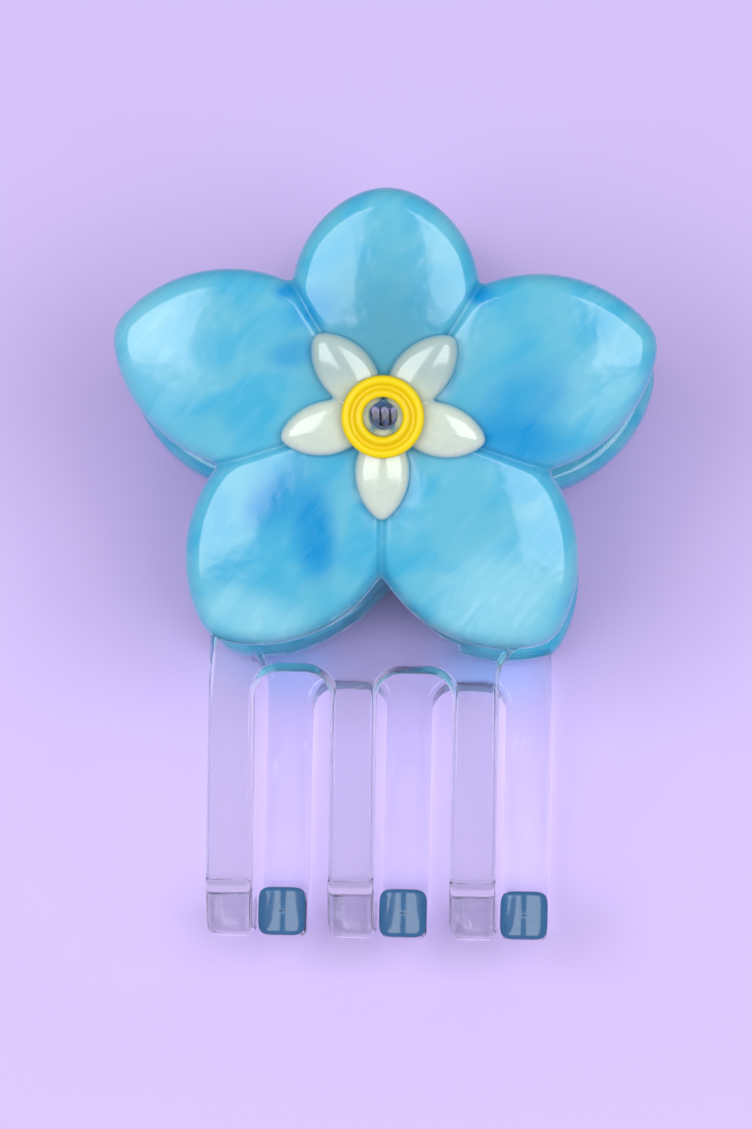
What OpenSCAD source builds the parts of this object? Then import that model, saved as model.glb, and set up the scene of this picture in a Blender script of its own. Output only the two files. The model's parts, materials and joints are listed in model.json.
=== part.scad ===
// Forget-me-not claw hair clip. Two equal halves, each a five-petal flower plate with a clear comb
// fused below it, are joined behind the flowers by a steel hinge with a torsion spring.
// The closed clip lies on its rear half as it would on a table: X runs along the hinge, +Y points
// to the top petals and +Z is up, with the origin on the table under the middle of the clip.

/* [Clip] */
// Distance from the hinge axis to the inner face of each half
hinge_depth = 14; // [12:0.5:17]
// Lean of each half away from the middle plane of the closed clip, in degrees
half_tilt = 9; // [6:0.5:12]
// Thickness of the acetate sheet that the flower and the comb are cut from
sheet_t = 5; // [4:0.25:6]
// Radius of the eye drilled through the middle of the flower and its star
eye_r = 1.5; // [1:0.1:1.8]

/* [Flower] */
// Distance from the middle of the flower to the tips of the four large petals
petal_reach = 30; // [25:0.5:36]
// Greatest width of a large petal
petal_w = 21; // [18:0.5:25]
// Distance from the middle of the flower to the tip of the top petal
top_reach = 24; // [20:0.5:30]
// Greatest width of the top petal
top_w = 20; // [16:0.5:24]
// Radius that rounds both edges of the flower
petal_rim = 2.2; // [1:0.1:2.4]

/* [Star] */
// Distance from the middle of the star to its points
star_reach = 11.2; // [9:0.1:11.6]
// Width of one point of the star
star_w = 5.8; // [4.5:0.1:6.5]
// Thickness of the star
star_t = 2; // [1.5:0.1:2.5]
// Radius that rounds the edges of the star
star_rim = 0.8; // [0.4:0.05:0.9]

/* [Ring] */
// Outer radius of the ring around the eye
ring_r = 4.4; // [3.8:0.1:5]
// Radius of the hole in the ring
ring_hole_r = 2.1; // [1.9:0.1:2.5]
// Thickness of the ring
ring_t = 1.5; // [1:0.1:2]
// Radius of the round groove turned into the face of the ring
groove_r = 0.35; // [0.2:0.05:0.45]

/* [Comb] */
// Distance from the middle of the flower to the foot of the teeth
tooth_drop = 54.8; // [50:0.2:60]
// How far the tops of the gaps between the teeth lie below the tips of the lower petals
arch_below = 3.7; // [2.5:0.1:5]
// Width of one tooth
tooth_w = 4.9; // [4:0.1:5]
// Distance from one tooth to the next in the same half
tooth_pitch = 13; // [12:0.1:14]
// Number of teeth in each half
tooth_count = 3; // [3:1:3]
// Gap between a tooth and its nearest neighbour in the other half
row_gap = 0.6; // [0.4:0.05:1.2]
// Radius of the two corners at the top of a gap
arch_r = 2.7; // [2:0.1:3.5]
// Radius of the web that runs from the last tooth up to the petal
web_r = 5; // [4:0.25:6]
// How far that web rises above the tops of the gaps
web_rise = 4; // [3:0.25:5]
// Outer radius of the bend at the foot of a tooth
bend_r = 7; // [6.5:0.1:8]
// How far a tooth passes the middle plane of the clip
tooth_past = 4.5; // [3:0.25:5]
// Thickness of the coloured pad on the end of a tooth
pad_t = 0.9; // [0.6:0.1:1.5]
// How far a pad stands out past the sides of its tooth
pad_lap = 0.1; // [0:0.05:0.15]
// Corner radius of a pad
pad_corner = 1.2; // [0.8:0.1:1.6]

/* [Hinge] */
// Radius of the hinge pin
pin_r = 1; // [0.8:0.05:1.2]
// Radial clearance between the pin and the ears that turn on it
pin_fit = 0.05; // [0.02:0.01:0.1]
// Thickness of the sheet steel
steel_t = 1.2; // [1:0.1:1.4]
// Radius of the rounded end of an ear
ear_r = 2.6; // [2.2:0.1:3]
// Gap between a front ear and the rear ear beside it
ear_gap = 0.3; // [0.2:0.05:0.5]
// Length of the plate that an ear stands on, along the half
leaf_len = 13; // [11:0.5:16]
// Side gap between the spring and the ears of the front plate
spring_side = 0.6; // [0.4:0.05:1.2]
// Radius of the window in the plate behind the eye
window_r = 2.6; // [2.2:0.1:3]
// Radius of the barbed studs that hold the plate to the acetate
stud_r = 0.8; // [0.6:0.05:1]
// Length of a stud in the acetate
stud_len = 2.8; // [2:0.1:3]
// Radius of the two formed heads of the pin
head_r = 1.8; // [1.5:0.1:2.1]
// Thickness of the two formed heads of the pin
head_t = 0.7; // [0.5:0.1:1]

/* [Spring] */
// Diameter of the spring wire
wire_d = 1; // [0.8:0.05:1.1]
// Whole turns in the coil
coil_turns = 5; // [4:1:5]
// Clearance between the pin and the inside of the coil
coil_fit = 0.7; // [0.5:0.05:1]
// Gap between the coil and the hook of the front leg
hook_gap = 0.3; // [0.2:0.05:0.5]
// Where the spring legs press, measured from the middle of the flower
leg_reach = 12; // [10:0.5:14]

/* [Hidden] */
$fn = 96;
eps = 0.01;
far = 200;

// Petal angles, counted from +X, and how far a vesica's sharp point would pass the rounded tip
side_petals = [16.5, 163.5];
lower_petals = [232.8, 307.2];
top_petal = 90;
star_petals = [-13.5, 49, 131, 193.5, 270];
petal_root = 0.7;
tip_extra = 0.35;
star_tip_extra = 0.25;
hub_r = 8;

// Places in one half: x along the hinge, y up the plate from the hinge axis, z out of the plate
outer_z = hinge_depth + sheet_t;
flower_y = outer_z * tan(half_tilt);
bend_z = outer_z - bend_r;
bend_y = (bend_z * sin(half_tilt) + bend_r - tooth_drop) / cos(half_tilt);
bend_angle = 90 - half_tilt;
tip_len = tooth_past + bend_y * sin(half_tilt) + bend_z * cos(half_tilt);
arch_y = flower_y + petal_reach * sin(lower_petals[1]) - arch_below;
row_shift = (tooth_w + row_gap) / 2;
row_left = -row_shift - tooth_pitch * (tooth_count - 1) / 2;
comb_left = row_left - tooth_w / 2;
comb_right = row_left + tooth_pitch * (tooth_count - 1) + tooth_w / 2;
gap_w = tooth_pitch - tooth_w;
proud = star_t + ring_t;
ring_edge = 0.3;

// A large petal is where two equal discs overlap: half its length, their radius and their offset.
// Two petals part at the notch, which lies on the line midway between them.
petal_half = (petal_reach + tip_extra - petal_root) / 2;
petal_disc = (petal_half * petal_half + petal_w * petal_w / 4) / petal_w;
petal_offset = petal_disc - petal_w / 2;
half_step = (lower_petals[1] - lower_petals[0]) / 2;
notch_mid = (petal_root + petal_half) * cos(half_step) - petal_offset * sin(half_step);
notch_reach = notch_mid + sqrt(notch_mid * notch_mid
    - pow(petal_root + petal_half, 2) - pow(petal_offset, 2) + pow(petal_disc, 2));

// Rest pose: the clip lies on the edge of the rear ring and on the bends of the rear teeth
edge_y = flower_y - ring_r + ring_edge;
edge_z = outer_z + proud - ring_edge;
rest_lean = atan2(edge_z - bend_z, edge_y - bend_y)
    - asin((bend_r - ring_edge) / norm([edge_z - bend_z, edge_y - bend_y]));
clip_lean = half_tilt + rest_lean;
axis_z = bend_r - bend_y * sin(rest_lean) + bend_z * cos(rest_lean);
clip_top = (flower_y + top_reach - petal_rim) * cos(rest_lean)
    + (outer_z - petal_rim) * sin(rest_lean) + petal_rim;
clip_foot = -tooth_drop * cos(clip_lean) - tooth_past * sin(clip_lean);
axis_y = -(clip_top + clip_foot) / 2;

// Hinge
leaf_z = hinge_depth - steel_t;
stud_y = leaf_len / 2 - 2;
stud_in = 2;

// Spring: the coil, the hook and both legs are swept along points that these values give
coil_r = pin_r + coil_fit + wire_d / 2;
coil_pitch = wire_d * 1.04;
coil_len = coil_turns * coil_pitch;
hook_x = coil_len / 2 + hook_gap + wire_d / 2;
coil_x = -hook_gap - wire_d / 2;
front_ear_x = hook_x + wire_d / 2 + spring_side;
rear_ear_x = front_ear_x + steel_t + ear_gap;
head_x = rear_ear_x + steel_t;
turn_steps = 14;
wire_sides = 8;
leg_y = flower_y + leg_reach;
leg_z = hinge_depth - wire_d / 2 - 0.05;

// Direction and length of the straight leg that leaves the coil and meets the plate
leg_far = norm([leg_y, leg_z]);
leg_angle = atan2(leg_z, leg_y);
touch_angle = leg_angle - acos(coil_r / leg_far);

flower_blue = "#4fb4dc";
comb_clear = "#d9d2ee80";
star_cream = "#e3efe2";
ring_yellow = "#f2d81e";
pad_slate = "#4f7fa3";
steel_grey = "#9aa3ab";

// Placement -------------------------------------------------------------------------------------

module in_clip() {
    translate([0, axis_y, axis_z]) rotate([clip_lean, 0, 0]) children();
}

module front_half() {
    in_clip() rotate([half_tilt, 0, 0]) children();
}

module rear_half() {
    in_clip() rotate([0, 180, 0]) rotate([half_tilt, 0, 0]) children();
}

module on_flower(z) {
    translate([0, flower_y, z]) children();
}

// Petals ----------------------------------------------------------------------------------------

// A flat disc with both edges rounded
module round_disc(r, t, rim) {
    rotate_extrude() {
        square([r - rim, t]);
        translate([0, rim]) square([r, t - 2 * rim]);
        for (y = [rim, t - rim]) intersection() {
            translate([r - rim, y]) circle(rim, $fn = 48);
            square([far, t]);
        }
    }
}

// One petal along +X, from the middle of the flower: where two round discs overlap, cut off
// by a third disc that rounds the tip
module petal(reach, w, t, rim, extra) {
    half_l = (reach + extra - petal_root) / 2;
    r = (half_l * half_l + w * w / 4) / w;
    intersection() {
        translate([petal_root + half_l, r - w / 2, 0]) round_disc(r, t, rim);
        translate([petal_root + half_l, w / 2 - r, 0]) round_disc(r, t, rim);
        round_disc(reach, t, rim);
    }
}

module large_petals() {
    for (a = concat(side_petals, lower_petals)) rotate([0, 0, a]) petal(petal_reach, petal_w, sheet_t, petal_rim, tip_extra);
}

module flower_plate() {
    large_petals();
    rotate([0, 0, top_petal]) petal(top_reach, top_w, sheet_t, petal_rim, tip_extra);
    cylinder(r = hub_r, h = sheet_t);
}

// The plain outline of the two lower petals, which the comb is cut to
module lower_petal_cut() {
    for (a = lower_petals) rotate([0, 0, a]) translate([0, 0, -1]) intersection() {
        intersection_for(side = [-1, 1]) translate([petal_root + petal_half, side * petal_offset, 0])
            cylinder(r = petal_disc, h = sheet_t + 2);
        cylinder(r = petal_reach, h = sheet_t + 2);
    }
}

module stud_holes() {
    for (x = [-1, 1], y = [-1, 1])
        translate([x * (front_ear_x - stud_in), y * stud_y, -eps]) cylinder(r = stud_r, h = stud_len + eps);
}

module flower() {
    color(flower_blue) on_flower(hinge_depth) difference() {
        flower_plate();
        translate([0, 0, -1]) cylinder(r = eye_r, h = sheet_t + 2);
        stud_holes();
    }
}

// Comb ------------------------------------------------------------------------------------------

// Side view of the comb sheet, drawn with the plate's y as X and its z as Y
module comb_side() {
    translate([bend_y, bend_z]) {
        intersection() {
            difference() {
                circle(bend_r);
                circle(bend_r - sheet_t);
            }
            translate([-far, 0]) square(far);
            in_tooth_end() translate([-far, -far]) square([2 * far, far]);
        }
        translate([0, bend_r - sheet_t]) square([far, sheet_t]);
        in_tooth_end() translate([bend_r - sheet_t, 0]) square([sheet_t, tip_len - pad_t]);
    }
}

// Where the straight end of a tooth starts: its X points out of the bend and its Y to the end
module in_tooth_end() {
    rotate(90 + bend_angle) children();
}

// The region under the middle lines of the two lower petals
module below_lower_petals() {
    polygon([[0, 0], for (a = lower_petals) far * [cos(a), sin(a)]]);
}

// Front view of the comb, with the gaps between its teeth cut out
module comb_front() {
    difference() {
        translate([comb_left, -far]) square([2 * abs(comb_left), far + flower_y - notch_reach]);
        for (i = [0:tooth_count - 2])
            translate([comb_left + tooth_w + i * tooth_pitch, arch_y]) tooth_gap();
        translate([comb_right, arch_y + web_rise]) side_cut();
    }
}

module tooth_gap() {
    translate([0, -far]) square([gap_w, far - arch_r]);
    translate([arch_r, -2 * arch_r]) square([gap_w - 2 * arch_r, 2 * arch_r]);
    for (x = [arch_r, gap_w - arch_r]) translate([x, -arch_r]) circle(arch_r);
}

// Free space beside the last tooth, rounded where it runs up to the petal
module side_cut() {
    translate([0, -far]) square([far, far - web_r]);
    translate([web_r, -far]) square([far, far]);
    translate([web_r, -web_r]) circle(web_r);
}

module across() {
    rotate([90, 0, 90]) translate([0, 0, -far / 2]) linear_extrude(far) children();
}

module comb() {
    color(comb_clear) difference() {
        intersection() {
            across() comb_side();
            translate([0, 0, -far / 2]) linear_extrude(far) comb_front();
            translate([0, flower_y, -far / 2]) linear_extrude(far) below_lower_petals();
        }
        on_flower(hinge_depth) lower_petal_cut();
    }
}

// A rounded rectangle centred on the origin
module round_rect(w, l, r) {
    square([w - 2 * r, l], center = true);
    square([w, l - 2 * r], center = true);
    for (x = [-1, 1], y = [-1, 1]) translate([x * (w / 2 - r), y * (l / 2 - r)]) circle(r, $fn = 48);
}

module tooth_pads(tint) {
    color(tint) for (i = [0:tooth_count - 1])
        translate([row_left + i * tooth_pitch, bend_y, bend_z]) rotate([90 + bend_angle, 0, 0])
            translate([0, bend_r - sheet_t / 2, tip_len - pad_t]) linear_extrude(pad_t)
                round_rect(tooth_w + 2 * pad_lap, sheet_t + 2 * pad_lap, pad_corner);
}

// Star and ring ---------------------------------------------------------------------------------

module star() {
    color(star_cream) on_flower(outer_z) difference() {
        union() {
            for (a = star_petals)
                rotate([0, 0, a]) petal(star_reach, star_w, star_t, star_rim, star_tip_extra);
            cylinder(r = ring_r - ring_edge, h = star_t);
        }
        translate([0, 0, -1]) cylinder(r = eye_r, h = star_t + 2);
    }
}

module ring() {
    groove_at = (ring_r + ring_hole_r) / 2;
    color(ring_yellow) on_flower(outer_z + star_t) rotate_extrude() difference() {
        union() {
            translate([ring_hole_r, 0]) square([ring_r - ring_hole_r - ring_edge, ring_t]);
            translate([ring_hole_r, 0]) square([ring_r - ring_hole_r, ring_t - ring_edge]);
            translate([ring_r - ring_edge, ring_t - ring_edge]) circle(ring_edge, $fn = 48);
        }
        translate([groove_at, ring_t]) circle(groove_r, $fn = 48);
    }
}

// Hinge -----------------------------------------------------------------------------------------

// One ear in the y-z plane, from its round end on the pin to the plate
module ear(x, hole_r) {
    translate([x, 0, 0]) rotate([90, 0, 90]) difference() {
        linear_extrude(steel_t) {
            circle(ear_r);
            polygon([
                [-ear_r * cos(20), ear_r * sin(20)], [ear_r * cos(20), -ear_r * sin(20)],
                [flower_y + leaf_len / 2, leaf_z], [flower_y + leaf_len / 2, hinge_depth],
                [flower_y - leaf_len / 2, hinge_depth], [flower_y - leaf_len / 2, leaf_z]
            ]);
        }
        translate([0, 0, -1]) cylinder(r = hole_r, h = steel_t + 2);
    }
}

// A leaf folded from sheet steel: two ears and the plate between them
module leaf(ear_x, hole_r) {
    color(steel_grey) difference() {
        union() {
            ear(ear_x, hole_r);
            ear(-ear_x - steel_t, hole_r);
            translate([-ear_x - eps, flower_y - leaf_len / 2, leaf_z])
                cube([2 * (ear_x + eps), leaf_len, steel_t]);
        }
        on_flower(leaf_z - 1) {
            cylinder(r = window_r, h = steel_t + 2);
            for (x = [-1, 1], y = [-1, 1])
                translate([x * (front_ear_x - stud_in), y * stud_y, 0]) cylinder(r = stud_r, h = steel_t + 2);
        }
    }
}

module studs() {
    color(steel_grey) on_flower(leaf_z)
        for (x = [-1, 1], y = [-1, 1])
            translate([x * (front_ear_x - stud_in), y * stud_y, 0]) cylinder(r = stud_r, h = steel_t + stud_len);
}

module pin_shape() {
    rotate([0, 90, 0]) {
        translate([0, 0, -head_x - head_t]) cylinder(r = pin_r, h = 2 * (head_x + head_t));
        translate([0, 0, head_x]) cylinder(r = head_r, h = head_t);
        translate([0, 0, -head_x - head_t]) cylinder(r = head_r, h = head_t);
    }
}

// Spring ----------------------------------------------------------------------------------------

// A round wire swept along points that bend in the y-z plane and drift along x
module wire(points) {
    n = len(points);
    rings = [for (i = [0:n - 1])
        let (
            before = points[max(0, i - 1)],
            after = points[min(n - 1, i + 1)],
            along = (after - before) / norm(after - before),
            side = cross(along, [1, 0, 0]) / norm(cross(along, [1, 0, 0])),
            up = cross(side, along)
        )
        for (k = [0:wire_sides - 1])
            points[i] + wire_d / 2 * (cos(360 * k / wire_sides) * side + sin(360 * k / wire_sides) * up)];
    walls = [for (i = [0:n - 2], k = [0:wire_sides - 1])
        let (next = (k + 1) % wire_sides)
        [i * wire_sides + k, i * wire_sides + next, (i + 1) * wire_sides + next, (i + 1) * wire_sides + k]];
    first = [for (k = [wire_sides - 1:-1:0]) k];
    last = [for (k = [0:wire_sides - 1]) (n - 1) * wire_sides + k];
    polyhedron(rings, concat([first], walls, [last]));
}

// Points on the coil from angle a0 to a1, in degrees about the pin
function coil_points(x0, x1, a0, a1, steps) = [for (i = [0:steps])
    let (t = i / steps, a = a0 + t * (a1 - a0))
    [x0 + t * (x1 - x0), coil_r * cos(a), coil_r * sin(a)]];

// The hook that follows the coil and the straight leg that presses the front plate
module front_leg_wire() {
    wire(concat(
        coil_points(hook_x, hook_x, touch_angle - 150, touch_angle, 7),
        [[hook_x, leg_y, leg_z]]
    ));
}

// The coil, and the straight leg that presses the plate of the half it is drawn in
module coil_wire() {
    wire(concat(
        coil_points(coil_x + coil_len / 2, coil_x - coil_len / 2,
            touch_angle - 360 * coil_turns, touch_angle, coil_turns * turn_steps),
        [[coil_x - coil_len / 2, leg_y, leg_z]]
    ));
}

// Nodes -----------------------------------------------------------------------------------------

module front_flower() { front_half() flower(); }
module front_comb() { front_half() comb(); }
module front_star() { front_half() star(); }
module front_ring() { front_half() ring(); }
module front_tooth_pads() { front_half() tooth_pads(comb_clear); }
module front_hinge_leaf() { front_half() leaf(front_ear_x, pin_r + pin_fit); }
module front_hinge_studs() { front_half() studs(); }
module spring_front_leg() { color(steel_grey) front_half() front_leg_wire(); }
module rear_flower() { rear_half() flower(); }
module rear_comb() { rear_half() comb(); }
module rear_star() { rear_half() star(); }
module rear_ring() { rear_half() ring(); }
module rear_tooth_pads() { rear_half() tooth_pads(pad_slate); }
module rear_hinge_leaf() { rear_half() leaf(rear_ear_x, pin_r); }
module rear_hinge_studs() { rear_half() studs(); }
module hinge_pin() { color(steel_grey) in_clip() pin_shape(); }
module spring_coil() { color(steel_grey) rear_half() mirror([1, 0, 0]) coil_wire(); }

front_flower();
front_comb();
front_star();
front_ring();
front_tooth_pads();
front_hinge_leaf();
front_hinge_studs();
spring_front_leg();
rear_flower();
rear_comb();
rear_star();
rear_ring();
rear_tooth_pads();
rear_hinge_leaf();
rear_hinge_studs();
hinge_pin();
spring_coil();
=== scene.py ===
import json
import math
import bpy
import bmesh
from mathutils import Matrix, Vector


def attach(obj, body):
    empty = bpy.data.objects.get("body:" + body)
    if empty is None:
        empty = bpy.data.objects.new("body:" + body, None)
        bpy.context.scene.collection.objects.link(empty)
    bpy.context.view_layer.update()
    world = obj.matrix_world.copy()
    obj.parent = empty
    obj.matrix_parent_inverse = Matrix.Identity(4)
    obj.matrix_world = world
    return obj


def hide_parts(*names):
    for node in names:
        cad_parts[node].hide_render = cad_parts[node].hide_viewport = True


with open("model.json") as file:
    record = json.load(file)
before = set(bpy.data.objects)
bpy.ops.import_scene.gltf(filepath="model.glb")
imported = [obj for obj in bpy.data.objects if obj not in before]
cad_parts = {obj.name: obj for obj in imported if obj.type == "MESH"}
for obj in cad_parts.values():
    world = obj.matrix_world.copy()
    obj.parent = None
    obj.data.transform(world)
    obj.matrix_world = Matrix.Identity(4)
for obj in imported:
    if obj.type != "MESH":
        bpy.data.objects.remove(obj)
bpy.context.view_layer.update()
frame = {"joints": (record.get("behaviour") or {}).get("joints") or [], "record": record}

mm = 0.001  # the pieces are drawn in millimetres and stored in metres
fullTurn = 2 * math.pi

# Each half has its own upright frame: x along the hinge, y up the flower, z out of its face,
# with the middle of the flower's inner face at zero.
mounts = {mount["name"]: mount for mount in frame["record"]["mounts"]}
hingePoint = Vector(frame["joints"][0]["pos_m"])


def plateFrame(eyeName, side):
    eye = mounts[eyeName]
    outward = Vector(eye["axis"]).normalized()
    across = Vector((side, 0, 0))
    place = Matrix((across, outward.cross(across), outward)).transposed().to_4x4()
    place.translation = Vector(eye["pos_m"]) - outward * eye["dims"]["length_mm"] / 2 * mm
    return place


halves = {"front": plateFrame("front_eye", 1), "rear": plateFrame("rear_eye", -1)}
hingeLocal = halves["front"].inverted() @ hingePoint / mm
innerZ = -hingeLocal.z  # from the hinge out to the flower's inner face
flowerY = -hingeLocal.y  # from the hinge up to the middle of the flower
facing = halves["front"].col[2].to_3d().dot(-halves["rear"].col[2].to_3d())
halfTilt = math.acos(facing) / 2
print("halves placed")


class Wire:  # a shader value: sums and products on it add the nodes
    def __init__(self, tree, socket=None):
        self.tree = tree
        self.socket = socket

    def node(self, kind, settings=None, inputs=None, output=0):
        made = self.tree.nodes.new("ShaderNode" + kind)
        for name, value in (settings or {}).items():
            setattr(made, name, value)
        for name, value in (inputs or {}).items():
            if isinstance(value, Wire):
                self.tree.links.new(value.socket, made.inputs[name])
            else:
                made.inputs[name].default_value = value
        return Wire(self.tree, made.outputs[output]) if made.outputs else None

    def math(self, operation, *values):
        return self.node("Math", {"operation": operation}, dict(enumerate(values)))

    def __add__(self, other):
        return self.math("ADD", self, other)

    __radd__ = __add__

    def __sub__(self, other):
        return self.math("SUBTRACT", self, other)

    def __rsub__(self, other):
        return self.math("SUBTRACT", other, self)

    def __mul__(self, other):
        return self.math("MULTIPLY", self, other)

    __rmul__ = __mul__

    def __abs__(self):
        return self.math("ABSOLUTE", self)

    def clamped(self):
        return self.node("Clamp", inputs={0: self})

    def ranged(self, low, high, ease="LINEAR", start=0, end=1):  # start at low, end at high
        return self.node("MapRange", {"interpolation_type": ease}, {
            "Value": self, "From Min": low, "From Max": high, "To Min": start, "To Max": end})

    def tint(self, first, second):  # self is how much of the second colour shows
        return self.node("Mix", {"data_type": "RGBA"}, {"Factor": self, "A": first, "B": second},
                         output=2)


def startMaterial(name):
    material = bpy.data.materials.new(name)
    material.use_nodes = True
    material.node_tree.nodes.clear()
    return material, Wire(material.node_tree)


def finishMaterial(wire, surface):
    wire.node("OutputMaterial", inputs={"Surface": surface})


def placeInHalf(wire):  # in metres, from the origin of the piece's half
    return wire.node("TexCoord", output=3)


def plainSurface(wire, colour, roughness, finish, **others):
    inputs = {"Base Color": colour, "Roughness": roughness}
    inputs.update(finish)
    inputs.update(others)
    return wire.node("BsdfPrincipled", inputs=inputs)


def pattern(wire, where, grain, shift=(0, 0, 0)):  # noise; a grain's turn is in radians
    settings = dict(grain)
    scale, turn = settings.pop("scale"), settings.pop("turn", 0)
    moved = wire.node("Mapping", {"vector_type": "TEXTURE"}, {
        "Vector": where, "Location": shift, "Rotation": (0, 0, turn),
        "Scale": [1 / axis for axis in scale]})
    return wire.node("TexNoise", inputs=dict(settings, Vector=moved))


def bumped(wire, height, bump):
    return wire.node("Bump", inputs=dict(bump, Height=height))


def fromAxis(wire, where):  # how far a place is from the z axis
    flat = wire.node("VectorMath", {"operation": "MULTIPLY"}, {0: where, 1: (1, 1, 0)})
    return wire.node("VectorMath", {"operation": "LENGTH"}, {0: flat}, output=1)


def softSpot(wire, where, spot):  # 1 in the middle of a soft oval, falling to 0 past its edge
    moved = wire.node("Mapping", {"vector_type": "TEXTURE"}, {
        "Vector": where, "Location": (spot["x"] * mm, spot["y"] * mm, 0),
        "Rotation": (0, 0, math.radians(spot.get("turn", 0))),
        "Scale": (spot["wide"] * mm, spot["long"] * mm, 1)})
    return fromAxis(wire, moved).ranged(0.1, 1, "SMOOTHERSTEP", spot.get("strength", 1), 0)


marble = {  # the blue of the petals, with milk stirred in as wisps and hairs
    "light": (0.125, 0.49, 0.65, 1), "middle": (0.055, 0.43, 0.66, 1),
    "deep": (0.002, 0.29, 0.62, 1), "teal": (0.085, 0.33, 0.46, 1),
    "milk": (0.27, 0.62, 0.78, 1), "pale": (0.30, 0.66, 0.78, 1),
    "band": {"scale": (32, 46, 32), "turn": 0.5, "Detail": 1, "Roughness": 0.4,
             "Distortion": 0.4},
    "wisp": {"scale": (95, 24, 40), "turn": -0.7, "Detail": 2.5, "Roughness": 0.5,
             "Distortion": 1.2},
    "hair": {"scale": (420, 22, 60), "turn": -0.85, "Detail": 3, "Roughness": 0.6,
             "Distortion": 0.4},
    "bandRange": (0.32, 0.66), "wispRange": (0.46, 0.68), "hairRange": (0.62, 0.8),
    "wispMilk": 0.15, "hairMilk": 0.14, "rearShift": (0.031, 0.017, 0.008),
    "spotPlain": 0.85, "spotRagged": 0.35,  # wisps fray the edges of the pools
    "heart": {"x": 0, "y": 6, "wide": 13, "long": 16, "strength": 0.75},  # the teal middle
    "ripple": {"scale": (110, 110, 110), "Detail": 1.5},
    "bump": {"Strength": 0.08, "Distance": 0.0005},
    "haze": {"scale": (500, 500, 500), "Detail": 2}, "smooth": 0.1, "uneven": 0.08,
    "finish": {"IOR": 1.42, "Subsurface Weight": 0.35, "Subsurface Radius": (0.5, 0.9, 1.0),
               "Subsurface Scale": 0.003, "Coat Weight": 0.25, "Coat Roughness": 0.03},
}
frontSpots = [  # where the blue pools or clears, in millimetres from the middle of the flower
    {"x": -13.5, "y": -22.0, "wide": 9, "long": 5, "turn": -20, "strength": 0.8, "tone": "pale"},
    {"x": 12.5, "y": -19.5, "wide": 11, "long": 9, "turn": 20, "strength": 0.85, "tone": "pale"},
    {"x": -24.0, "y": 7.0, "wide": 8, "long": 12, "turn": 10, "strength": 0.5, "tone": "pale"},
    {"x": 22.5, "y": 3.0, "wide": 9, "long": 6, "turn": 12, "strength": 0.45, "tone": "pale"},
    {"x": -7.2, "y": -12.8, "wide": 3.6, "long": 8, "turn": 6, "strength": 1},
    {"x": -11.9, "y": -9.4, "wide": 5.4, "long": 3.4, "turn": 50, "strength": 0.85},
    {"x": -9.5, "y": -8.5, "wide": 7, "long": 7, "turn": 0, "strength": 0.45},
    {"x": 13.8, "y": -2.4, "wide": 10, "long": 4.4, "turn": -10, "strength": 1},
    {"x": 15.0, "y": 1.8, "wide": 9, "long": 6, "turn": 25, "strength": 0.6},
    {"x": -7.7, "y": 11.2, "wide": 4.4, "long": 3.4, "turn": 30, "strength": 0.7},
    {"x": -10.5, "y": 12.9, "wide": 2.4, "long": 1.6, "turn": 0, "strength": 0.8},
    {"x": 10.2, "y": 12.9, "wide": 2.6, "long": 1.8, "turn": 0, "strength": 0.9},
    {"x": -9.5, "y": 6.5, "wide": 5, "long": 2.6, "turn": 10, "strength": 0.6},
]
rearSpots = [
    {"x": 8.5, "y": -12.4, "wide": 3.6, "long": 7, "turn": -12, "strength": 0.9},
    {"x": -14, "y": 0.5, "wide": 8, "long": 3.2, "turn": 12, "strength": 0.85},
    {"x": 3.5, "y": 13.5, "wide": 4, "long": 5, "turn": 20, "strength": 0.7},
    {"x": 19, "y": 5.5, "wide": 6, "long": 2.8, "turn": -20, "strength": 0.6},
    {"x": -8, "y": -17, "wide": 5, "long": 2.6, "turn": 30, "strength": 0.6},
]


def blueAcetate(name, spots, shift):
    material, wire = startMaterial(name)
    where = placeInHalf(wire)
    band = pattern(wire, where, marble["band"], shift).ranged(*marble["bandRange"], "SMOOTHSTEP")
    wisp = pattern(wire, where, marble["wisp"], shift).ranged(*marble["wispRange"], "SMOOTHSTEP")
    hair = pattern(wire, where, marble["hair"], shift).ranged(*marble["hairRange"])
    colour = band.tint(marble["middle"], marble["light"])
    colour = (wisp * marble["wispMilk"]).tint(colour, marble["milk"])
    colour = softSpot(wire, where, marble["heart"]).tint(colour, marble["teal"])
    for spot in spots:
        ragged = softSpot(wire, where, spot) * (marble["spotPlain"] + wisp * marble["spotRagged"])
        colour = ragged.clamped().tint(colour, marble[spot.get("tone", "deep")])
    colour = (hair * marble["hairMilk"]).tint(colour, marble["milk"])
    bump = bumped(wire, pattern(wire, where, marble["ripple"]), marble["bump"])
    roughness = marble["smooth"] + pattern(wire, where, marble["haze"]) * marble["uneven"]
    finishMaterial(wire, plainSurface(wire, colour, roughness, marble["finish"], Normal=bump))
    return material


clear = {
    "bright": (0.86, 0.88, 0.88, 1), "grey": (0.78, 0.79, 0.84, 1), "greyShare": 0.5,
    "blue": (0.70, 0.88, 0.93, 1),  # painted glow: the petals' blue light seen in the clear comb just below them
    "paintedGlowSpots": [{"x": side * 12, "y": -26, "wide": 10, "long": 6} for side in (-1, 1)],
    "ripple": {"scale": (90, 40, 90), "Detail": 2, "Distortion": 0.5},
    "bump": {"Strength": 0.04, "Distance": 0.0005}, "roughness": 0.02,
    "shadow": (0.80, 0.80, 0.85, 1), "finish": {"IOR": 1.48, "Transmission Weight": 1},
}


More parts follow.
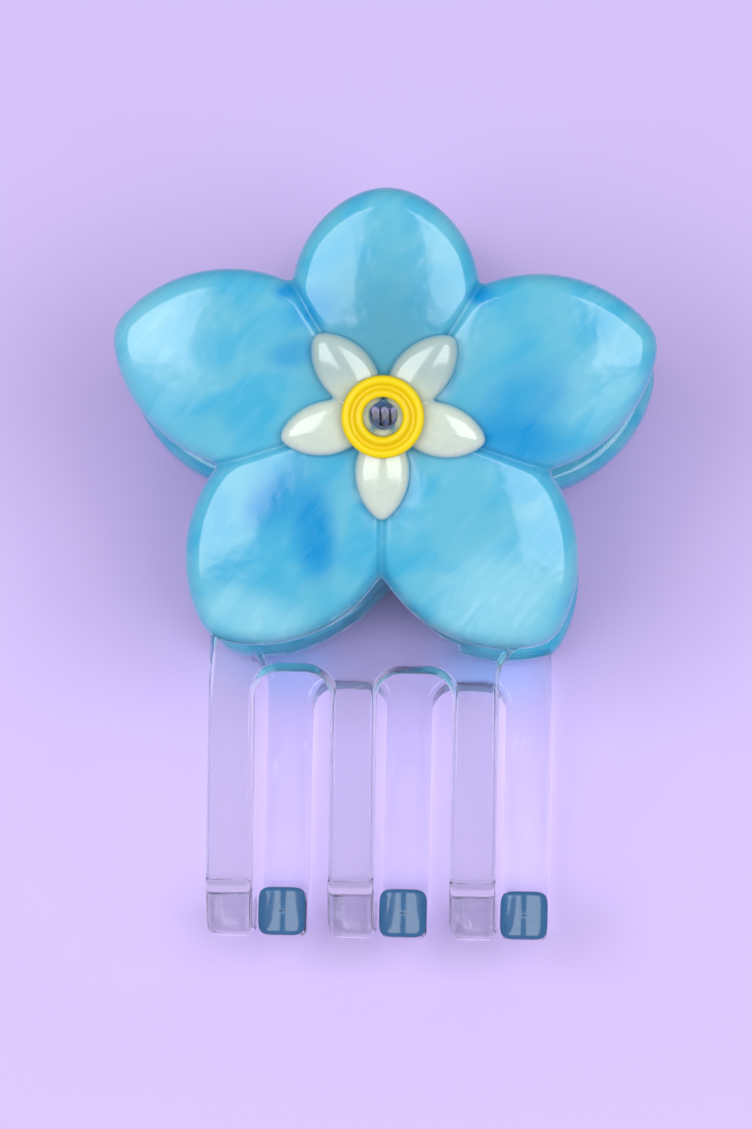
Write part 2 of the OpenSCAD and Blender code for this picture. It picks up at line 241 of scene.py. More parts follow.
def clearAcetate():
    material, wire = startMaterial("clearAcetate")
    where = placeInHalf(wire)
    ripple = pattern(wire, where, clear["ripple"])
    bump = bumped(wire, ripple, clear["bump"])
    colour = (ripple * clear["greyShare"]).tint(clear["bright"], clear["grey"])
    # painted glow: blue light from the petals, laid on the clear comb just below them
    for glowSpot in clear["paintedGlowSpots"]:
        colour = softSpot(wire, where, glowSpot).tint(colour, clear["blue"])
    body = plainSurface(wire, colour, clear["roughness"], clear["finish"], Normal=bump)
    through = wire.node("BsdfTransparent", inputs={"Color": clear["shadow"]})
    shadowRay = wire.node("LightPath", output=1)
    finishMaterial(wire, wire.node("MixShader", inputs={0: shadowRay, 1: body, 2: through}))
    return material


cream = {
    "thin": (0.50, 0.62, 0.58, 1), "thick": (0.66, 0.73, 0.62, 1), "thickShare": 1.2,
    "cloud": {"scale": (180, 180, 180), "Detail": 3, "Distortion": 0.8},
    "upper": (0.34, 0.48, 0.49, 1), "upperShare": 0.7,  # the two petals above the ring
    "upperFrom": 1, "upperTo": 5,
    "middle": (0.68, 0.71, 0.49, 1), "middleShare": 0.6,
    "middleSpot": {"x": 0, "y": 0, "wide": 7.5, "long": 7.5},
    "edge": (0.24, 0.52, 0.64, 1), "edgeFrom": 5.6, "edgeTo": 6.3,  # blue shows at the rim
    "smooth": 0.1, "uneven": 0.08,
    "finish": {"IOR": 1.48, "Subsurface Weight": 0.5, "Subsurface Radius": (0.9, 1.0, 0.9),
               "Subsurface Scale": 0.002, "Coat Weight": 0.5, "Coat Roughness": 0.02},
}


def creamAcetate():
    material, wire = startMaterial("creamAcetate")
    where = placeInHalf(wire)
    cloud = pattern(wire, where, cream["cloud"])
    y, z = [wire.node("SeparateXYZ", inputs={0: where}, output=axis) for axis in (1, 2)]
    upper = y.ranged(cream["upperFrom"] * mm, cream["upperTo"] * mm, "SMOOTHSTEP")
    edge = z.ranged(cream["edgeFrom"] * mm, cream["edgeTo"] * mm)
    middle = softSpot(wire, where, cream["middleSpot"])
    colour = (cloud * cream["thickShare"]).clamped().tint(cream["thin"], cream["thick"])
    colour = (upper * cream["upperShare"]).tint(colour, cream["upper"])
    colour = (middle * cream["middleShare"]).tint(colour, cream["middle"])
    colour = edge.tint(cream["edge"], colour)
    roughness = cream["smooth"] + cloud * cream["uneven"]
    finishMaterial(wire, plainSurface(wire, colour, roughness, cream["finish"]))
    return material


yellow = {
    "deep": (0.84, 0.62, 0.0, 1), "light": (0.88, 0.67, 0.0, 1),
    "cloud": {"scale": (260, 260, 260), "Detail": 2},
    # painted shade: a darker yellow in and beside the ring's groove
    "groove": (0.78, 0.56, 0.0, 1), "grooveAt": 3.1, "grooveFrom": 0.2, "grooveTo": 0.7,
    "smooth": 0.3, "uneven": 0.1,
    "finish": {"IOR": 1.33, "Subsurface Weight": 0.15, "Subsurface Radius": (1.0, 0.7, 0.2),
               "Subsurface Scale": 0.001, "Coat Weight": 0.07, "Coat Roughness": 0.03},
}


def yellowAcetate():
    material, wire = startMaterial("yellowAcetate")
    where = placeInHalf(wire)
    cloud = pattern(wire, where, yellow["cloud"])
    # painted shade: the yellow darkens around the groove's radius
    away = abs(fromAxis(wire, where) - yellow["grooveAt"] * mm)
    groove = away.ranged(yellow["grooveFrom"] * mm, yellow["grooveTo"] * mm, "SMOOTHSTEP", 1, 0)
    colour = groove.tint(cloud.tint(yellow["deep"], yellow["light"]), yellow["groove"])
    roughness = yellow["smooth"] + cloud * yellow["uneven"]
    finishMaterial(wire, plainSurface(wire, colour, roughness, yellow["finish"]))
    return material


# painted light for the rear tooth tips: the flower's blue carried down the clear teeth, with a
# random cloud in its tone
pipedBlueLight = {
    "deep": (0.025, 0.11, 0.25, 1), "light": (0.05, 0.15, 0.31, 1),
    "cloud": {"scale": (420, 420, 420), "Detail": 2}, "smooth": 0.1, "uneven": 0.06,
    "finish": {"IOR": 1.42, "Coat Weight": 0.1, "Coat Roughness": 0.02},
}


def paintedPipedLight():
    material, wire = startMaterial("paintedPipedLight")
    cloud = pattern(wire, placeInHalf(wire), pipedBlueLight["cloud"])
    colour = cloud.tint(pipedBlueLight["deep"], pipedBlueLight["light"])
    roughness = pipedBlueLight["smooth"] + cloud * pipedBlueLight["uneven"]
    finishMaterial(wire, plainSurface(wire, colour, roughness, pipedBlueLight["finish"]))
    return material


steel = {
    "dull": (0.50, 0.53, 0.57, 1), "bright": (0.70, 0.71, 0.73, 1),
    "stain": {"scale": (130, 130, 130), "Detail": 3},
    "brush": {"scale": (2600, 240, 240), "Detail": 3},
    "bump": {"Strength": 0.1, "Distance": 0.0001}, "smooth": 0.18, "uneven": 0.16,
    "finish": {"Metallic": 1},
}


def platedSteel():
    material, wire = startMaterial("platedSteel")
    where = placeInHalf(wire)
    brushed = pattern(wire, where, steel["brush"])
    colour = pattern(wire, where, steel["stain"]).tint(steel["dull"], steel["bright"])
    bump = bumped(wire, brushed, steel["bump"])
    roughness = steel["smooth"] + brushed * steel["uneven"]
    finishMaterial(wire, plainSurface(wire, colour, roughness, steel["finish"], Normal=bump))
    return material


materials = {
    "frontBlue": blueAcetate("frontBlueAcetate", frontSpots, (0, 0, 0)),
    "rearBlue": blueAcetate("rearBlueAcetate", rearSpots, marble["rearShift"]),
    "clear": clearAcetate(), "cream": creamAcetate(), "yellow": yellowAcetate(),
    "pipedBlueLight": paintedPipedLight(), "steel": platedSteel(),
}
print("materials ready")


def addPiece(name, points, faces, place, half, node, material):
    mesh = bpy.data.meshes.new(name)
    mesh.from_pydata([Vector(point) * mm for point in points], [], faces)
    return dressPiece(name, mesh, place, half, node, material)


def dressPiece(name, mesh, place, half, node, material):
    mesh.materials.append(materials[material])
    mesh.polygons.foreach_set("use_smooth", [True] * len(mesh.polygons))
    piece = bpy.data.objects.new(name, mesh)
    bpy.context.scene.collection.objects.link(piece)
    piece.matrix_world = place
    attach(piece, half + "_half")
    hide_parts(node)
    return piece


def ringFaces(ringCount, perRing, closed):
    faces = []
    for ring in range(ringCount if closed else ringCount - 1):
        first, second = ring * perRing, (ring + 1) % ringCount * perRing
        for ray in range(perRing):
            after = (ray + 1) % perRing
            faces.append((first + ray, second + ray, second + after, first + after))
    return faces


def cappedFaces(ringCount, perRing):  # rings in a row, with a flat face on each end
    last = (ringCount - 1) * perRing
    ends = [tuple(range(perRing))[::-1], tuple(range(last, last + perRing))]
    return ringFaces(ringCount, perRing, False) + ends


def joined(parts):
    points, faces = [], []
    for morePoints, moreFaces in parts:
        first = len(points)
        points += [tuple(point) for point in morePoints]
        faces += [tuple(first + corner for corner in face) for face in moreFaces]
    return points, faces


# Flower, star, hinge ears and leaf are plates drawn in rings from a hole out to an outline.
# size holds the hole's radius, the furthest the outline may lie, rays, rings and edge band.
plateMesh = {"halvings": 26, "holeRound": 0.18, "rimSteps": 11}


def radialPlate(inside, top, bottom, size):
    # inside(x, y) is the depth inside the outline; top and bottom turn it into heights
    hole, rays, rings = size["hole"], size["rays"], size["rings"]
    holeRound, rimSteps = plateMesh["holeRound"], plateMesh["rimSteps"]
    turns = [(math.cos(fullTurn * ray / rays), math.sin(fullTurn * ray / rays))
             for ray in range(rays)]
    outline = []
    for cos, sin in turns:
        low, high = hole, size["furthest"]
        for step in range(plateMesh["halvings"]):
            middle = (low + high) / 2
            if inside(middle * cos, middle * sin) > 0:
                low = middle
            else:
                high = middle
        outline.append(low)
    shares = [(0, 0)] + [(index / rings, 0) for index in range(rings + 1)]
    shares += [(1, math.sin(math.pi / 2 * step / rimSteps)) for step in range(1, rimSteps + 1)]

    def ringPoints(level, share, rim, drop):
        made = []
        for (cos, sin), outer in zip(turns, outline):
            inner = hole + (0 if drop else holeRound)
            edge = min(size["band"], (outer - inner) / 2)
            radius = inner + (outer - edge - inner) * share + edge * rim
            x, y = radius * cos, radius * sin
            made.append((x, y, level(max(inside(x, y), 0), x, y) + drop))
        return made

    points = []
    for index, (share, rim) in enumerate(shares):
        points += ringPoints(top, share, rim, -holeRound if index == 0 else 0)
    for index, (share, rim) in reversed(list(enumerate(shares))):
        points += ringPoints(bottom, share, rim, holeRound if index == 0 else 0)
    return points, ringFaces(2 * len(shares), rays, True)


def roundedRim(depth, radius):  # how far a rounded edge has dropped at this depth inside it
    if depth >= radius:
        return 0
    return radius - math.sqrt(radius * radius - (radius - depth) ** 2)


def crowned(depth, size):  # how far a cushioned face has dropped at this depth
    return (1 - min(depth / size["crownDepth"], 1)) ** 2 * size["crown"]


def limited(share):
    return min(max(share, 0), 1)


def softMin(first, second, blend):
    return min(first, second) - blend * math.log(1 + math.exp(-abs(first - second) / blend))


def softMax(values, blend):
    best = max(values)
    return best + blend * math.log(sum(math.exp((value - best) / blend) for value in values))


tipDraw = 0.7  # a blended tip ends this share of its blend short of the discs' corner


def petalDiscs(reach, width, size):  # a petal is where two discs overlap
    half = (reach + tipDraw * size["tipBlend"] - size["root"]) / 2
    return half, (half * half + width * width / 4) / width


def petalDepth(x, y, petal, size):
    angle, reach, width = petal
    turn = math.radians(angle)
    cos, sin = math.cos(turn), math.sin(turn)
    along, aside = x * cos + y * sin, y * cos - x * sin
    half, disc = petalDiscs(reach, width, size)
    offset = disc - width / 2
    first = disc - math.hypot(along - size["root"] - half, aside - offset)
    second = disc - math.hypot(along - size["root"] - half, aside + offset)
    return softMin(first, second, size["tipBlend"])


flower = {
    "petals": [(90, 24, 20), (163.5, 30, 21), (16.5, 30, 21),  # angle, reach and width
               (232.8, 30, 21), (307.2, 30, 21)],
    "root": 0.7, "thick": 5, "tipBlend": 0.5, "valleyBlend": 0.3, "rim": 1.9, "backRim": 1.5,
    "crown": 0.7, "crownDepth": 9, "crease": 0.5, "creaseWidth": 0.7,
    "creaseFrom": 6, "creaseRise": 5, "creaseFade": 1.5,  # where a crease starts and dies out
    "hole": 1.5, "furthest": 31, "rays": 540, "rings": 48, "band": 3,
}
lowerLeft, lowerRight = flower["petals"][-2:]


def petalDepths(x, y):
    return [petalDepth(x, y, petal, flower) for petal in flower["petals"]]


def flowerDepth(x, y):
    return softMax(petalDepths(x, y), flower["valleyBlend"])


def flowerTop(depth, x, y):
    second, best = sorted(petalDepths(x, y))[-2:]  # petals meet where these two are equal
    fade = limited((math.hypot(x, y) - flower["creaseFrom"]) / flower["creaseRise"])
    fade *= limited(1 + second / flower["creaseFade"])
    crease = flower["crease"] * fade * math.exp(-((best - second) / flower["creaseWidth"]) ** 2)
    return flower["thick"] - roundedRim(depth, flower["rim"]) - crowned(depth, flower) - crease


def flowerBack(depth, x, y):
    return roundedRim(depth, flower["backRim"])


points, faces = radialPlate(flowerDepth, flowerTop, flowerBack, flower)
for half, place in halves.items():
    addPiece(half + "Petals", points, faces, place, half, half + "_flower", half + "Blue")
print("flowers ready")

star = {
    "petals": [(angle, 11.2, 5.8) for angle in (-13.5, 49, 131, 193.5, 270)],
    "root": 0.7, "base": 4.3, "top": 7, "tipBlend": 0.35, "valleyBlend": 0.25, "rim": 0.9,
    "crown": 0.55, "crownDepth": 2.9,
    "hole": flower["hole"], "furthest": 12, "rays": 240, "rings": 12, "band": 1.4,
}


def starDepth(x, y):
    return softMax([petalDepth(x, y, petal, star) for petal in star["petals"]],
                   star["valleyBlend"])


def starTop(depth, x, y):
    return star["top"] - roundedRim(depth, star["rim"]) - crowned(depth, star)


def starBack(depth, x, y):
    return star["base"]


points, faces = radialPlate(starDepth, starTop, starBack, star)
for half, place in halves.items():
    addPiece(half + "Star", points, faces, place, half, half + "_star", "cream")
print("stars ready")


def turned(profile, steps, closed):  # profile is a list of (radius, height)
    points = []
    for radius, height in profile:
        for step in range(steps):
            angle = fullTurn * step / steps
            points.append((radius * math.cos(angle), radius * math.sin(angle), height))
    rings = len(profile)
    faces = ringFaces(rings, steps, True) if closed else cappedFaces(rings, steps)
    return points, [face[::-1] for face in faces]


def arc(centre, radius, start, end, steps):  # points on an arc of a profile, angles in degrees
    made = []
    for step in range(steps + 1):
        angle = math.radians(start + (end - start) * step / steps)
        made.append((centre[0] + radius * math.cos(angle), centre[1] + radius * math.sin(angle)))
    return made


ring = {
    "outer": 4.4, "inner": 2.1, "base": 6.6, "top": 8.5, "edge": 0.45, "edgeSteps": 6,
    "groove": 0.34, "grooveRise": 0.08, "grooveFrom": 194, "grooveTo": 346, "grooveSteps": 9,
    "steps": 96,
}
grooveCentre = ((ring["outer"] + ring["inner"]) / 2, ring["top"] + ring["grooveRise"])
edgeZ = ring["top"] - ring["edge"]
profile = [(ring["inner"], ring["base"])]
profile += arc((ring["inner"] + ring["edge"], edgeZ), ring["edge"], 180, 90, ring["edgeSteps"])
profile += arc(grooveCentre, ring["groove"], ring["grooveFrom"], ring["grooveTo"],
               ring["grooveSteps"])
profile += arc((ring["outer"] - ring["edge"], edgeZ), ring["edge"], 90, 0, ring["edgeSteps"])
profile += [(ring["outer"], ring["base"])]
points, faces = turned(profile, ring["steps"], True)
for half, place in halves.items():
    addPiece(half + "Ring", points, faces, place, half, half + "_ring", "yellow")
print("rings ready")

# The comb is cut from a flat sheet, and then its teeth are bent inwards at the foot.
comb = {
    "thick": 5, "teeth": 3, "pitch": 13, "tooth": 4.9, "shift": 2.75, "drop": 54.8, "past": 4.5,
    "bend": 7, "pad": 0.9,
    "archDrop": 27.6, "archRound": 2.7, "archSteps": 9,  # the gaps between the teeth
    "webRound": 5, "webRise": 4, "webSteps": 22,  # the hollow beside the last tooth
    "sideTop": -25.2, "notch": -17.1, "tipShort": 0.4, "tuck": 0.5, "petalSteps": 30,
    "apart": 0.3, "buried": 0.1,  # edges this deep in a petal stay sharp
    "edge": 0.75, "edgeSteps": 4, "bendCuts": 16, "sheetCuts": 8, "cutEvery": 2.2,
}
bendZ = innerZ + comb["thick"] - comb["bend"]
bendY = (bendZ * math.sin(halfTilt) + comb["bend"] - comb["drop"]) / math.cos(halfTilt)
tipLength = comb["past"] + bendY * math.sin(halfTilt) + bendZ * math.cos(halfTilt)
bendStart = bendY - flowerY
bendCentre = bendZ - innerZ
bendAngle = math.pi / 2 - halfTilt
neutral = comb["bend"] - comb["thick"] / 2
toothEnd = bendStart - neutral * bendAngle - tipLength + comb["pad"]
firstTooth = -comb["shift"] - comb["pitch"] * (comb["teeth"] - 1) / 2
toothPlaces = [firstTooth + comb["pitch"] * index for index in range(comb["teeth"])]


def bentPoint(x, y, z):  # carries a point of the flat comb round the bend of a tooth
    past = bendStart - y
    if past <= 0:
        return Vector((x, y, z))
    turn = min(past / neutral, bendAngle)
    rest = past - turn * neutral
    radius = comb["bend"] - comb["thick"] + z
    return Vector((x, bendStart - radius * math.sin(turn) - rest * math.cos(turn),
                   bendCentre + radius * math.cos(turn) - rest * math.sin(turn)))


def petalArc(petal, side):  # the lower edge of a lower petal, tucked a little into it
    angle, reach, width = petal
    half, disc = petalDiscs(reach, width, flower)
    offset = disc - width / 2
    turn = math.radians(angle)
    axis = Vector((math.cos(turn), math.sin(turn)))
    aside = Vector((-math.sin(turn), math.cos(turn))) * side
    centre = axis * (flower["root"] + half) - aside * offset
    tip, notch = axis * (reach - comb["tipShort"]), Vector((0, comb["notch"]))
    start = math.atan2(tip.y - centre.y, tip.x - centre.x)
    end = math.atan2(notch.y - centre.y, notch.x - centre.x)
    swing = (end - start + math.pi) % fullTurn - math.pi
    radius, steps = disc - comb["tuck"], comb["petalSteps"]
    return [(centre.x + radius * math.cos(start + swing * step / steps),
             centre.y + radius * math.sin(start + swing * step / steps))
            for step in range(steps + 1)]


def combOutline():
    archY = -comb["archDrop"]
    halfTooth = comb["tooth"] / 2
    outline = [(toothPlaces[0] - halfTooth, comb["sideTop"])]
    for index, place in enumerate(toothPlaces):
        outline += [(place - halfTooth, toothEnd), (place + halfTooth, toothEnd)]
        if index < len(toothPlaces) - 1:
            left, right = place + halfTooth, toothPlaces[index + 1] - halfTooth
            corner, steps = comb["archRound"], comb["archSteps"]
            outline += arc((left + corner, archY - corner), corner, 180, 90, steps)
            outline += arc((right - corner, archY - corner), corner, 90, 0, steps)
    webX = toothPlaces[-1] + halfTooth + comb["webRound"]
    webY = archY + comb["webRise"] - comb["webRound"]
    for point in arc((webX, webY), comb["webRound"], 180, 90, comb["webSteps"]):
        outline.append(point)
        if petalDepth(*point, lowerRight, flower) > comb["tuck"]:
            break
    limit = outline[-1][0] - comb["apart"]
    outline += [point for point in petalArc(lowerRight, -1) if point[0] < limit]
    outline += petalArc(lowerLeft, 1)[::-1][1:]
    return outline


def combMesh(name):
    shape = bmesh.new()
    ground = [shape.verts.new((x, y, 0)) for x, y in combOutline()]
    base = shape.faces.new(ground)
    lifted = bmesh.ops.extrude_face_region(shape, geom=[base])
    raised = [item for item in lifted["geom"] if isinstance(item, bmesh.types.BMVert)]
    bmesh.ops.translate(shape, vec=(0, 0, comb["thick"]), verts=raised)
    bmesh.ops.recalc_face_normals(shape, faces=shape.faces[:])
    rims = [edge for edge in shape.edges
            if abs(edge.verts[0].co.z - edge.verts[1].co.z) < 1e-6
            and max(flowerDepth(*vertex.co.xy) for vertex in edge.verts) < comb["buried"]]
    bmesh.ops.bevel(shape, geom=rims, offset=comb["edge"], segments=comb["edgeSteps"],
                    profile=0.5, affect="EDGES", clamp_overlap=False)
    bendCuts = comb["bendCuts"]
    cuts = [bendStart - neutral * bendAngle * step / bendCuts for step in range(bendCuts + 1)]
    cuts += [bendStart + comb["cutEvery"] * step for step in range(1, comb["sheetCuts"] + 1)]
    for cut in cuts:
        bmesh.ops.bisect_plane(shape, geom=shape.verts[:] + shape.edges[:] + shape.faces[:],
                               dist=1e-5, plane_co=(0, cut, 0), plane_no=(0, 1, 0))
    for vertex in shape.verts:
        vertex.co = bentPoint(*vertex.co) * mm
    mesh = bpy.data.meshes.new(name)
    shape.to_mesh(mesh)
    shape.free()
    return mesh


for half, place in halves.items():
    piece = dressPiece(half + "Comb", combMesh(half + "Comb"), place, half, half + "_comb",
                       "clear")
    weigh = piece.modifiers.new("evenShading", "WEIGHTED_NORMAL")
    weigh.weight = 100
print("combs ready")

# Tips on the ends of the teeth: clear on the front half. On the rear half they carry painted
# light, a dark blue that stands for the flower's blue carried down the clear teeth and out at
# their ends.
pad = {
    "wide": 5.1, "deep": 5.2, "square": 5, "steps": 72, "dome": 5,
    "profile": [(0.93, -0.25), (0.985, 0.0), (1.0, 0.25), (0.99, 0.5), (0.965, 0.68),
                (0.93, 0.8), (0.88, 0.87), (0.82, 0.9), (0.7, 0.9), (0.55, 0.9), (0.4, 0.9),
                (0.25, 0.9), (0.12, 0.9), (0.01, 0.9)],  # scale and height of each ring
}


def padRing(scale, height):  # a square with bulging sides, domed across and straight along
    made = []
    power = pad["square"]
    for step in range(pad["steps"]):
        angle = fullTurn * step / pad["steps"]
        across, along = math.cos(angle), math.sin(angle)
        reach = scale / (abs(across) ** power + abs(along) ** power) ** (1 / power)
        x, y = across * reach * pad["wide"] / 2, along * reach * pad["deep"] / 2
        drop = max(height, 0) * x * x / (2 * pad["dome"] * comb["pad"])
        made.append((x, y, height - drop))
    return made


def toothPad(place):
    middle = comb["thick"] / 2
    foot = bentPoint(place, toothEnd, middle)
    along = (bentPoint(place, toothEnd - 1, middle) - foot).normalized()
    radial = Vector((0, along.z, -along.y))
    points = [foot + Vector((x, 0, 0)) + radial * y + along * z
              for scale, height in pad["profile"] for x, y, z in padRing(scale, height)]
    return points, cappedFaces(len(pad["profile"]), pad["steps"])


points, faces = joined([toothPad(place) for place in toothPlaces])
for half, material, slot in (("front", "clear", "clear_acetate"), ("rear", "pipedBlueLight", "slate_pad")):
    addPiece(half + "ToothPads", points, faces, halves[half], half, half + "_tooth_pads",
             material)
print("tips ready")

hinge = {
    "pin": 1.0, "fit": 0.05, "steel": 1.2, "soft": 0.2, "gap": 0.3, "room": 9,
    "leaf": 13, "lip": 0.4, "window": 2.6, "ear": 2.6, "earTurn": 20,
    "stud": 0.8, "studIn": 2, "studLong": 2.4, "studTip": (0.5, 0.35), "studNeck": 0.04,
    "studSteps": 24,
    "studHead": [(0.05, -0.35), (0.55, -0.3), (0.95, -0.12), (1.05, 0.02)],
    "pinHead": [(1.7, 0), (1.8, 0.15), (1.6, 0.4), (1.1, 0.6), (0.3, 0.68)], "pinSteps": 40,
    "earMesh": {"furthest": 24, "rays": 96, "rings": 6, "band": 0.5},
    "leafMesh": {"furthest": 12, "rays": 96, "rings": 5, "band": 0.5},
}
leafZ = innerZ - hinge["steel"]
frontEar = hinge["room"] / 2
rearEar = frontEar + hinge["steel"] + hinge["gap"]
headX = rearEar + hinge["steel"]
atHinge = {half: place @ Matrix.Translation(hingeLocal * mm) for half, place in halves.items()}


def edgeDepth(x, y, corners):  # depth inside a convex outline given anticlockwise
    depths = []
    for start, end in zip(corners, corners[1:] + corners[:1]):
        run, rise = end[0] - start[0], end[1] - start[1]
        depths.append(((y - start[1]) * run - (x - start[0]) * rise) / math.hypot(run, rise))
    return min(depths)


def earDepth(x, y):  # x is up the plate and y out of it, from the pin
    turn = math.radians(hinge["earTurn"])
    low, high = flowerY - hinge["leaf"] / 2, flowerY + hinge["leaf"] / 2
    near = (hinge["ear"] * math.cos(turn), -hinge["ear"] * math.sin(turn))
    corners = [(-near[0], -near[1]), near, (high, leafZ), (high, innerZ), (low, innerZ),
               (low, leafZ)]
    return max(hinge["ear"] - math.hypot(x, y), edgeDepth(x, y, corners))


def sheetTop(depth, x, y):
    return hinge["steel"] - roundedRim(depth, hinge["soft"])


def sheetBack(depth, x, y):
    return roundedRim(depth, hinge["soft"])


def hingeLeaf(earX, holeRadius):
    def leafDepth(x, y):
        return min(earX + hinge["lip"] - abs(x), hinge["leaf"] / 2 - abs(y))

    ear, earFaces = radialPlate(earDepth, sheetTop, sheetBack,
                                dict(hinge["earMesh"], hole=holeRadius))
    plate, plateFaces = radialPlate(leafDepth, sheetTop, sheetBack,
                                    dict(hinge["leafMesh"], hole=hinge["window"]))
    right = [(earX + z, x, y) for x, y, z in ear]
    left = [(-earX - hinge["steel"] + z, x, y) for x, y, z in ear]
    level = [(x, y + flowerY, leafZ + z) for x, y, z in plate]
    return joined([(right, earFaces), (left, earFaces), (level, plateFaces)])


def studSet():
    deep = hinge["steel"] + hinge["studLong"]
    tipRadius, tipLong = hinge["studTip"]
    profile = hinge["studHead"] + [(hinge["stud"], hinge["studNeck"]), (hinge["stud"], deep),
                                   (tipRadius, deep + tipLong)]
    made, faces = turned(profile, hinge["studSteps"], False)
    faces = [face[::-1] for face in faces]
    across, up = hinge["room"] / 2 - hinge["studIn"], hinge["leaf"] / 2 - hinge["studIn"]
    return joined([([(px + x * across, py + flowerY + y * up, pz + leafZ) for px, py, pz in made],
                    faces) for x in (-1, 1) for y in (-1, 1)])


for half, earX, holeRadius in (("front", frontEar, hinge["pin"] + hinge["fit"]),
                               ("rear", rearEar, hinge["pin"])):
    points, faces = hingeLeaf(earX, holeRadius)
    addPiece(half + "HingeLeaf", points, faces, atHinge[half], half, half + "_hinge_leaf",
             "steel")
    points, faces = studSet()
    addPiece(half + "HingeStuds", points, faces, atHinge[half], half, half + "_hinge_studs",
             "steel")

pinEnd = [(hinge["pin"], headX)]
pinEnd += [(radius, headX + height) for radius, height in hinge["pinHead"]]
profile = [(radius, -height) for radius, height in pinEnd[::-1]] + pinEnd
points, faces = turned(profile, hinge["pinSteps"], False)
points = [(height, x, y) for x, y, height in points]
addPiece("hingePin", points, faces, atHinge["rear"], "rear", "hinge_pin", "steel")
print("hinge ready")

# Torsion spring: the coil and its rear leg are one piece, the hook and front leg the other.
spring = {
    "wire": 1.0, "turns": 5, "spacing": 1.04, "fit": 0.7, "hookGap": 0.3, "hookTurn": 150,
    "reach": 12, "legGap": 0.05, "perTurn": 40, "hookSteps": 20, "sides": 14, "endScale": 0.72,
    "legShares": (0.2, 0.5, 0.8, 0.97, 0.995, 1),
}
wireRadius = spring["wire"] / 2
coilRadius = hinge["pin"] + spring["fit"] + wireRadius
coilLength = spring["turns"] * spring["wire"] * spring["spacing"]
coilMiddle = spring["hookGap"] + wireRadius
hookX = coilLength / 2 + coilMiddle
legY = flowerY + spring["reach"]
legZ = innerZ - wireRadius - spring["legGap"]
touch = math.atan2(legZ, legY) - math.acos(coilRadius / math.hypot(legY, legZ))


def coilPath(fromX, toX, start, steps):  # ends where the straight leg leaves the coil
    path = []
    for step in range(steps + 1):
        share = step / steps
        angle = start + (touch - start) * share
        path.append(Vector((fromX + (toX - fromX) * share, coilRadius * math.cos(angle),
                            coilRadius * math.sin(angle))))
    leg = Vector((toX, legY, legZ))
    return path + [path[-1].lerp(leg, share) for share in spring["legShares"]]


def tube(path):  # a round wire along a path that turns in the y-z plane
    sides = spring["sides"]
    points = []
    for index, spot in enumerate(path):
        along = (path[min(index + 1, len(path) - 1)] - path[max(index - 1, 0)]).normalized()
        side = along.cross(Vector((1, 0, 0))).normalized()
        up = side.cross(along)
        scale = spring["endScale"] if index in (0, len(path) - 1) else 1
        for step in range(sides):
            angle = fullTurn * step / sides
            points.append(spot + wireRadius * scale * (side * math.cos(angle)
                                                       + up * math.sin(angle)))
    return points, cappedFaces(len(path), sides)


hook = coilPath(hookX, hookX, touch - math.radians(spring["hookTurn"]), spring["hookSteps"])
points, faces = tube(hook)
addPiece("springFrontLeg", points, faces, atHinge["front"], "front", "spring_front_leg",
         "steel")
coil = coilPath(coilMiddle - coilLength / 2, coilMiddle + coilLength / 2,
                touch - fullTurn * spring["turns"], spring["turns"] * spring["perTurn"])
points, faces = tube(coil)
addPiece("springCoil", points, faces, atHinge["rear"], "rear", "spring_coil", "steel")
print("spring ready")

studio = {
    "floor": (0.66, 0.53, 0.90, 1), "floorSize": 3,
    "floorFinish": {"Specular IOR Level": 0.2}, "floorRoughness": 0.85,
    "boxes": [(-0.28, -0.17, 0.66), (0.28, -0.17, 0.66)], "boxWide": 0.38, "boxLong": 0.42,
    "boxPower": 2.4, "boxAim": 0.02,
    "world": (0.93, 0.93, 1.0, 1), "worldStrength": 0.40,
}


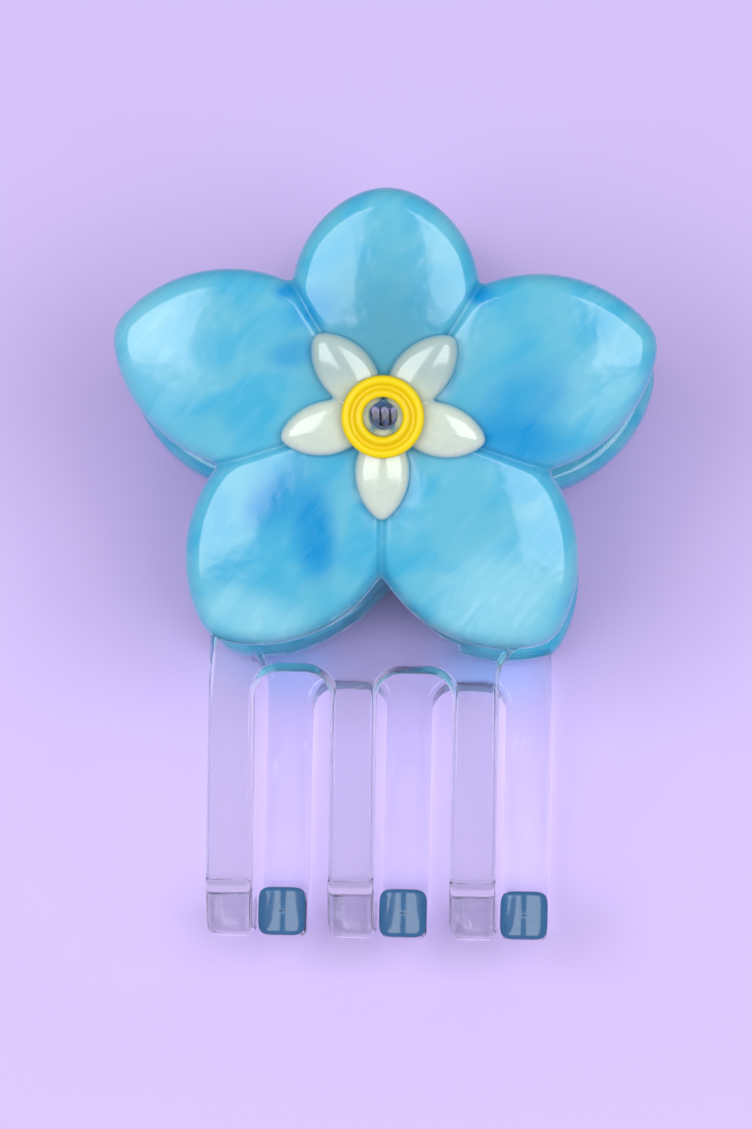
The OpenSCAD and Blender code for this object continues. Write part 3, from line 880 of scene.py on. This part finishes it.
def makeFloor():
    material, wire = startMaterial("paleFloor")
    finishMaterial(wire, plainSurface(wire, studio["floor"], studio["floorRoughness"],
                                      studio["floorFinish"]))
    half = studio["floorSize"] / 2
    mesh = bpy.data.meshes.new("floor")
    mesh.from_pydata([(-half, -half, 0), (half, -half, 0), (half, half, 0), (-half, half, 0)],
                     [], [(0, 1, 2, 3)])
    mesh.materials.append(material)
    floor = bpy.data.objects.new("floor", mesh)
    bpy.context.scene.collection.objects.link(floor)


def makeLights():
    for index, (x, y, z) in enumerate(studio["boxes"]):
        light = bpy.data.lights.new("softbox%d" % index, "AREA")
        light.shape = "RECTANGLE"
        light.size, light.size_y = studio["boxWide"], studio["boxLong"]
        light.energy = studio["boxPower"]
        lamp = bpy.data.objects.new("softbox%d" % index, light)
        lamp.location = (x, y, z)
        aim = Vector((0, y, studio["boxAim"])) - lamp.location
        lamp.rotation_euler = aim.to_track_quat("-Z", "Y").to_euler()
        bpy.context.scene.collection.objects.link(lamp)
    world = bpy.data.worlds.new("studio")
    world.use_nodes = True
    world.node_tree.nodes["Background"].inputs[0].default_value = studio["world"]
    world.node_tree.nodes["Background"].inputs[1].default_value = studio["worldStrength"]
    bpy.context.scene.world = world


shot = {
    "elevation": 72.6, "swing": 1.45, "roll": -3.6, "distance": 0.888, "frameWide": 0.0794,
    "sensor": 36, "right": 0.69, "up": 15.54,  # the eye from the middle of the view, in mm
}


def makeCamera():
    elevation, swing = math.radians(shot["elevation"]), math.radians(shot["swing"])
    towards = Vector((math.sin(swing), -math.cos(elevation), math.sin(elevation))).normalized()
    roll = Matrix.Rotation(math.radians(shot["roll"]), 3, "Z").to_quaternion()
    turn = towards.to_track_quat("Z", "Y") @ roll
    right, up = turn @ Vector((1, 0, 0)), turn @ Vector((0, 1, 0))
    eye = halves["front"] @ Vector((0, 0, ring["top"] * mm))
    aim = eye - right * shot["right"] * mm - up * shot["up"] * mm
    lens = bpy.data.cameras.new("camera")
    lens.sensor_fit = "HORIZONTAL"
    lens.sensor_width = shot["sensor"]
    lens.lens = shot["sensor"] * shot["distance"] / shot["frameWide"]
    camera = bpy.data.objects.new("camera", lens)
    camera.location = aim + towards * shot["distance"]
    camera.rotation_euler = turn.to_euler()
    bpy.context.scene.collection.objects.link(camera)
    bpy.context.scene.camera = camera


bpy.context.scene.view_settings.view_transform = "Standard"
makeFloor()
makeLights()
makeCamera()
print("studio ready")
